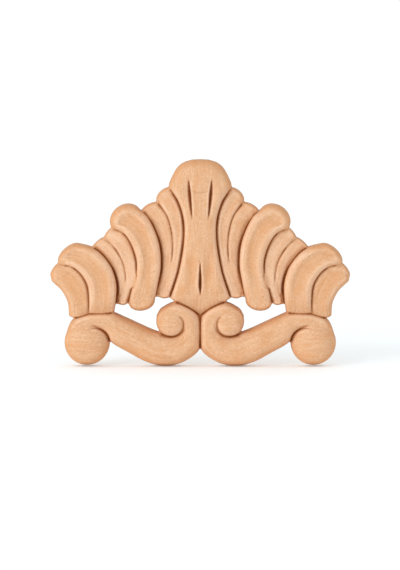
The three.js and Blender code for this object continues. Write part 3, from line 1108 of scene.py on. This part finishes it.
@dataclass
class Beech:
    """Makes the two faces of the wood: the carved front and the planed back."""

    group: bpy.types.NodeTree = field(default_factory=fibre_group)

    def start(self, name: str) -> tuple[bpy.types.Material, Graph]:
        """Makes an empty material.

        Args:
            name: Its name.

        Returns:
            The material and its nodes.
        """
        material = bpy.data.materials.new(name)
        material.use_nodes = True
        return material, Graph(material.node_tree)

    def grain(self, graph: Graph, place: Socket, look: BeechFinish) -> tuple[Socket, Socket, Socket]:
        """Colours the bare wood: its streaks, its mottling and its pores.

        Args:
            graph: The material's nodes.
            place: The output that gives the place along the fibre, in millimetres.
            look: The finish.

        Returns:
            The outputs that give the colour, the roughness and the height of the fibre.
        """
        group = graph.add("ShaderNodeGroup", {"Vector": place}, node_tree=self.group).outputs
        mottle = graph.ramp(group["Mottle"], *look.mottle_range)
        base = graph.mix(graph.ramp(group["Streak"], *look.streak_range), look.middle, look.light)
        base = graph.mix(graph.sum("MULTIPLY", mottle, look.mottle_share), base, look.hollow)
        base = graph.mix(graph.sum("MULTIPLY", group["Pore"], look.pore_share), base, look.pore)
        streak = graph.sum("MULTIPLY", group["Streak"], look.streak_roughness)
        return base, graph.sum("ADD", streak, look.roughness), group["Height"]

    def close(self, graph: Graph, colour: Socket, rough: Socket, height: Socket, look: BeechFinish) -> None:
        """Adds the shader and the output.

        Args:
            graph: The material's nodes.
            colour: The output that gives the colour.
            rough: The output that gives the roughness.
            height: The output that gives the height of the fibre.
            look: The finish.
        """
        bump = graph.add("ShaderNodeBump", {
            "Height": height, "Strength": look.bump_strength, "Distance": look.fibre_relief})
        shader = graph.add("ShaderNodeBsdfPrincipled", {
            "Base Color": colour, "Roughness": rough, "Normal": bump.outputs["Normal"],
            "Specular IOR Level": look.specular})
        graph.add("ShaderNodeOutputMaterial", {"Surface": shader.outputs["BSDF"]})

    def carved(self, look: BeechFinish = CARVED) -> bpy.types.Material:
        """Makes the carved face: fibre along each form, with painted warm shade in the hollows, painted dark
        shade in the creases and painted highlight on rims and crests.

        Args:
            look: The finish.

        Returns:
            The material.
        """
        material, graph = self.start("carved_beech")
        fibre = graph.add("ShaderNodeAttribute", attribute_type="GEOMETRY", attribute_name="fibre")
        shade = graph.add("ShaderNodeAttribute", attribute_type="GEOMETRY", attribute_name="shade")
        base, rough, height = self.grain(graph, fibre.outputs["Vector"], look)
        parts = graph.add("ShaderNodeSeparateXYZ", {"Vector": shade.outputs["Vector"]}).outputs
        # Painted highlight, then painted warm shade, then painted crease shade.
        base = graph.mix(graph.sum("MULTIPLY", parts["Z"], look.highlight_share), base, look.rim)
        base = graph.mix(parts["Y"], base, look.hollow)
        base = graph.mix(parts["X"], base, look.crease_shade)
        self.close(graph, base, rough, height, look)
        return material

    def planed(self, look: BeechFinish = PLANED) -> bpy.types.Material:
        """Makes the planed back: straight upright fibre on bare wood.

        Args:
            look: The finish.

        Returns:
            The material.
        """
        material, graph = self.start("planed_beech")
        place = graph.add("ShaderNodeTexCoord").outputs["Object"]
        turned = graph.add("ShaderNodeMapping", {
            "Vector": place, "Rotation": (math.radians(90), 0, 0), "Scale": (1 / MM, 1 / MM, 1 / MM)})
        base, rough, height = self.grain(graph, turned.outputs["Vector"], look)
        self.close(graph, base, rough, height, look)
        return material


@dataclass
class Applique:
    """The whole carving: its forms, the skin over them and its dressing."""

    pattern: Pattern
    wood: Beech
    voxel: float = 0.35 * MM
    back_cut: float = 1.9 * MM
    most_moved: float = 0.8 * MM
    wall_slopes: tuple[float, float] = (1.6, 3.2)
    first_smoothing: float = 0.5
    last_smoothing: float = 0.3

    def forms(self) -> list[tuple[Roll | Boss, Side]]:
        """Every form, with the half that it lies in."""
        halves = [(part, side) for part in (BALL, EYE, SCROLL, *FAN) for side in Side]
        return [*halves, (STEM, Side.RIGHT)]

    def rough_out(self) -> bpy.types.Object:
        """Builds every form, side by side and overlapping, in one mesh.

        Returns:
            The object that holds them.
        """
        form = bmesh.new()
        for part, side in self.forms():
            part.build(form, self.pattern, side)
            LOG.info("%s, %s: %d vertices in all", part.name, side.name.lower(), len(form.verts))
        bmesh.ops.recalc_face_normals(form, faces=form.faces)
        mesh = bpy.data.meshes.new("carving")
        form.to_mesh(mesh)
        form.free()
        piece = bpy.data.objects.new("carving", mesh)
        bpy.context.scene.collection.objects.link(piece)
        return piece

    def fuse(self, piece: bpy.types.Object) -> None:
        """Draws one skin over all the forms.

        Args:
            piece: The object that holds them.
        """
        skin = piece.modifiers.new("skin", "REMESH")
        skin.mode = "VOXEL"
        skin.voxel_size = self.voxel
        skin.adaptivity = 0.0
        bpy.context.view_layer.update()
        evaluated = piece.evaluated_get(bpy.context.evaluated_depsgraph_get())
        fused = bpy.data.meshes.new_from_object(evaluated)
        piece.modifiers.clear()
        piece.data = fused

    def flatten_back(self, form: bmesh.types.BMesh) -> None:
        """Saws the skin off level behind and closes it with one flat back.

        Args:
            form: The fused skin.
        """
        everything = [*form.verts, *form.edges, *form.faces]
        bmesh.ops.bisect_plane(form, geom=everything, dist=TOUCHING, plane_co=(0, -self.back_cut, 0),
                               plane_no=(0, 1, 0), clear_outer=True)
        rim = [edge for edge in form.edges if edge.is_boundary]
        lip = draw_back(form, rim, 0.0)
        back = bmesh.ops.triangle_fill(form, use_beauty=True, use_dissolve=False, edges=lip)["geom"]
        for part in back:
            if isinstance(part, bmesh.types.BMFace):
                part.material_index = Surface.PLANED.value

    def smooth(self, form: bmesh.types.BMesh, face: Vertices, share: float) -> None:
        """Moves each vertex of a face a share of the way to the middle of those around it.

        Args:
            form: The skin.
            face: The vertices to move.
            share: How far they move, from 0 to 1.
        """
        bmesh.ops.smooth_vert(form, verts=face, factor=share,
                              use_axis_x=True, use_axis_y=True, use_axis_z=True)

    def carve(self, form: bmesh.types.BMesh, relief: Relief) -> None:
        """Brings the face of the skin to the finished height, and leaves its side walls.

        Args:
            form: The skin, with its flat back.
            relief: The finished height.
        """
        face = [vertex for vertex in form.verts if vertex.co.y < -self.back_cut - self.voxel]
        self.smooth(form, face, self.first_smoothing)
        points = np.array([tuple(vertex.co) for vertex in face])
        level = 1 - smooth_step(*self.wall_slopes, relief.sample(relief.steepness(), points))
        move = -relief.sample(relief.height, points) - points[:, 1]
        move = np.clip(move, -self.most_moved, self.most_moved) * level
        for vertex, step in zip(face, move):
            vertex.co.y += step
        self.smooth(form, face, self.last_smoothing)

    def dress(self, mesh: bpy.types.Mesh, relief: Relief) -> None:
        """Marks the fibre and the shade on the skin, and gives it its materials.

        Args:
            mesh: The finished skin.
            relief: The finished height.
        """
        points = np.empty(len(mesh.vertices) * 3)
        mesh.vertices.foreach_get("co", points)
        points = points.reshape(-1, 3)
        for name, values in (("fibre", relief.fibre(points)), ("shade", relief.shade(points))):
            mark = mesh.attributes.new(name, "FLOAT_VECTOR", "POINT")
            mark.data.foreach_set("vector", values.ravel())
        mesh.materials.append(self.wood.carved())
        mesh.materials.append(self.wood.planed())

    def build(self) -> bpy.types.Object:
        """Carves, fuses, finishes and dresses the piece.

        Returns:
            The finished piece.
        """
        piece = self.rough_out()
        self.fuse(piece)
        faces = [part.fine_face(self.pattern, side) for part, side in self.forms()]
        relief = Relief(self.pattern, faces)
        LOG.info("relief: %d by %d cells", *relief.height.shape)
        form = bmesh.new()
        form.from_mesh(piece.data)
        self.flatten_back(form)
        self.carve(form, relief)
        bmesh.ops.recalc_face_normals(form, faces=form.faces)
        for face in form.faces:
            face.smooth = face.material_index == Surface.CARVED.value
        form.to_mesh(piece.data)
        form.free()
        piece.data.name = piece.name
        self.dress(piece.data, relief)
        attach(piece, BODY)
        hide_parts(NODE)
        piece.data.calc_loop_triangles()
        LOG.info("carving: %d vertices, %d triangles", len(piece.data.vertices),
                 len(piece.data.loop_triangles))
        return piece


@dataclass
class Studio:
    """A white floor, one soft light from the upper left in front, and the camera."""

    pattern: Pattern
    elevation: float = math.radians(5)
    distance: float = 1.3
    object_pixels: float = 299.5
    centre_column: float = 200.2
    middle_row: float = 263.7
    sensor: float = 36.0
    clip: tuple[float, float] = (0.01, 100.0)
    floor_size: float = 80.0
    floor_colour: Colour = (0.83, 0.89, 0.915)
    floor_roughness: float = 0.9
    floor_specular: float = 0.1
    glow: float = 0.24
    surround: float = 0.8
    key_strength: float = 1.55
    key_spread: float = math.radians(48)
    key_place: tuple[float, float, float] = (-0.64, -0.72, 0.26)

    def floor(self) -> None:
        """Lays a pale floor under the base line."""
        form = bmesh.new()
        bmesh.ops.create_grid(form, x_segments=1, y_segments=1, size=self.floor_size / 2)
        level = -self.pattern.tall / 2 * self.pattern.square
        bmesh.ops.translate(form, verts=form.verts, vec=(0, 0, level))
        mesh = bpy.data.meshes.new("studio_floor")
        form.to_mesh(mesh)
        form.free()
        floor = bpy.data.objects.new("studio_floor", mesh)
        bpy.context.scene.collection.objects.link(floor)
        material = bpy.data.materials.new("studio_white")
        material.use_nodes = True
        shader = material.node_tree.nodes["Principled BSDF"]
        shader.inputs["Base Color"].default_value = (*self.floor_colour, 1)
        shader.inputs["Roughness"].default_value = self.floor_roughness
        shader.inputs["Specular IOR Level"].default_value = self.floor_specular
        shader.inputs["Emission Color"].default_value = (1, 1, 1, 1)
        shader.inputs["Emission Strength"].default_value = self.glow
        mesh.materials.append(material)

    def light(self) -> None:
        """Hangs one broad soft light at the upper left, and a surround that looks as white as the floor."""
        world = bpy.data.worlds.new("studio_surround")
        world.use_nodes = True
        graph = Graph(world.node_tree)
        seen = graph.add("ShaderNodeLightPath").outputs["Is Camera Ray"]
        strength = graph.sum("MAXIMUM", seen, self.surround)
        white = graph.add("ShaderNodeBackground", {"Color": (1, 1, 1, 1), "Strength": strength})
        graph.add("ShaderNodeOutputWorld", {"Surface": white.outputs["Background"]})
        bpy.context.scene.world = world
        lamp = bpy.data.lights.new("soft_key", "SUN")
        lamp.angle = self.key_spread
        lamp.energy = self.key_strength
        key = bpy.data.objects.new("soft_key", lamp)
        key.location = self.key_place
        key.rotation_euler = (-key.location).to_track_quat("-Z", "Y").to_euler()
        bpy.context.scene.collection.objects.link(key)

    def camera(self) -> None:
        """Sets the camera in front, so that the carving has the photograph's place and size."""
        pixel = SQUARES * self.pattern.square / self.object_pixels
        view_width = PHOTO_WIDTH * pixel
        data = bpy.data.cameras.new("camera")
        data.sensor_fit = "HORIZONTAL"
        data.sensor_width = self.sensor
        data.lens = self.sensor * self.distance / view_width
        data.clip_start, data.clip_end = self.clip
        rise = (self.middle_row - PHOTO_HEIGHT / 2) * pixel
        aside = (PHOTO_WIDTH / 2 - self.centre_column) * pixel
        target = Vector((aside, -self.pattern.depth / 2, rise / math.cos(self.elevation)))
        view = Vector((0, -math.cos(self.elevation), math.sin(self.elevation)))
        camera = bpy.data.objects.new("camera", data)
        camera.location = target + view * self.distance
        camera.rotation_euler = (-view).to_track_quat("-Z", "Y").to_euler()
        bpy.context.scene.collection.objects.link(camera)
        bpy.context.scene.camera = camera

    def build(self) -> None:
        """Sets up the whole studio."""
        self.floor()
        self.light()
        self.camera()
        bpy.context.scene.view_settings.view_transform = "Standard"


def main() -> None:
    """Builds the carving and the studio, and notes the carving's size and what it stands for."""
    logging.basicConfig(level=logging.INFO, format="%(name)s: %(message)s")
    pattern = Pattern.from_frame()
    piece = Applique(pattern, Beech()).build()
    LOG.info("%s stands for %s", piece.name, NODE)
    Studio(pattern).build()
    LOG.info("studio: floor, light and camera")


if __name__ == "__main__":
    main()
